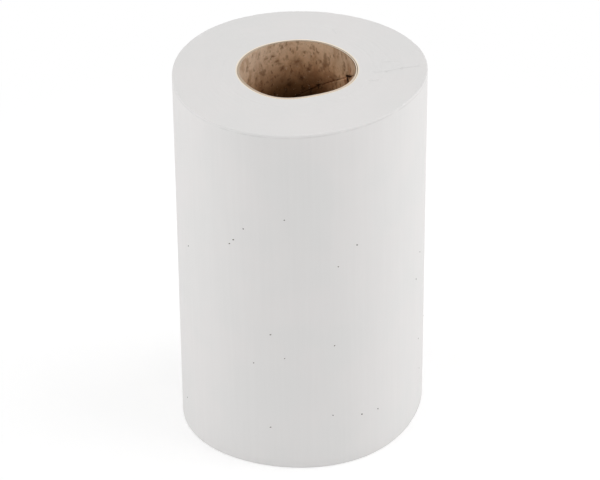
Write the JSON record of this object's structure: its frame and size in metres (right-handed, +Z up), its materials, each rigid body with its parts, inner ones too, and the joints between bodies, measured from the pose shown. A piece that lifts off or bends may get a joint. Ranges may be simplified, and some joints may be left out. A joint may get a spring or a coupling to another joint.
{
  "type": "paper towel roll",
  "caption": "Centre-feed paper towel roll standing on end: white recycled paper wound on an open cardboard core, slightly squeezed out of round.",
  "frame": {"origin": "on the core's axis in the plane of the lower end", "axes": "+Z up the core's axis, -Y towards the viewer of the picture"},
  "size_m": [0.1301, 0.1313, 0.2],
  "materials": {
    "towel_paper": "soft matt recycled tissue with a faint crepe and small grey flecks",
    "core_board": "raw matt grey-brown recycled board, speckled"
  },
  "bodies": {
    "root": {"wound_paper": "towel_paper", "cardboard_core": "core_board"}
  },
  "joints": []
}
